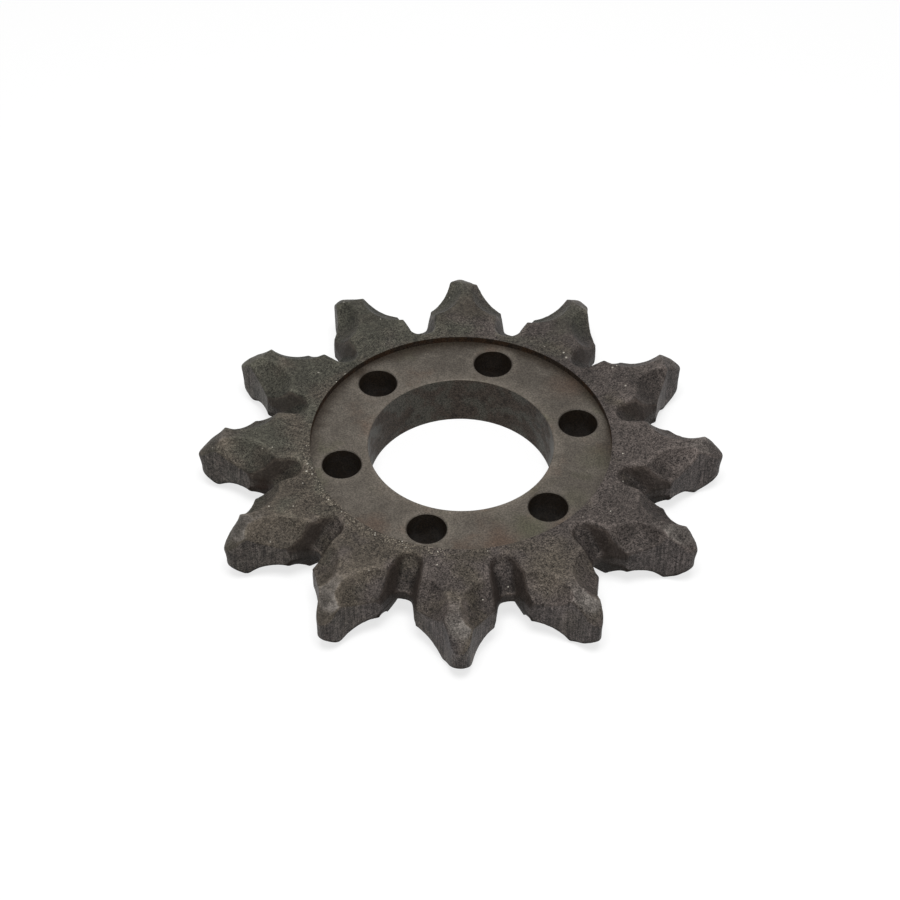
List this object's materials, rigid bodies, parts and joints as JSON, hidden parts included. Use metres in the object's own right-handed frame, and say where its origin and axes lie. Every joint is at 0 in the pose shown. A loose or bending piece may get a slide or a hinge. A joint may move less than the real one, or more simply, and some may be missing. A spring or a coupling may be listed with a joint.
{
  "type": "chain sprocket",
  "caption": "Forged drive sprocket for a digging chain: pointed teeth with relieved gaps, a central bore, a recessed hub seat and a ring of bolt holes.",
  "frame": {"origin": "on the bore axis, at the bottom face", "axes": "+Z along the bore axis towards the recessed face, +X along the middle line of one tooth"},
  "size_m": [0.231, 0.231, 0.028],
  "materials": {
    "forged_steel": "dark as-forged skin with worn edges, and a smoother machined hub ring"
  },
  "bodies": {
    "root": {"chain_sprocket": "forged_steel"}
  },
  "joints": []
}
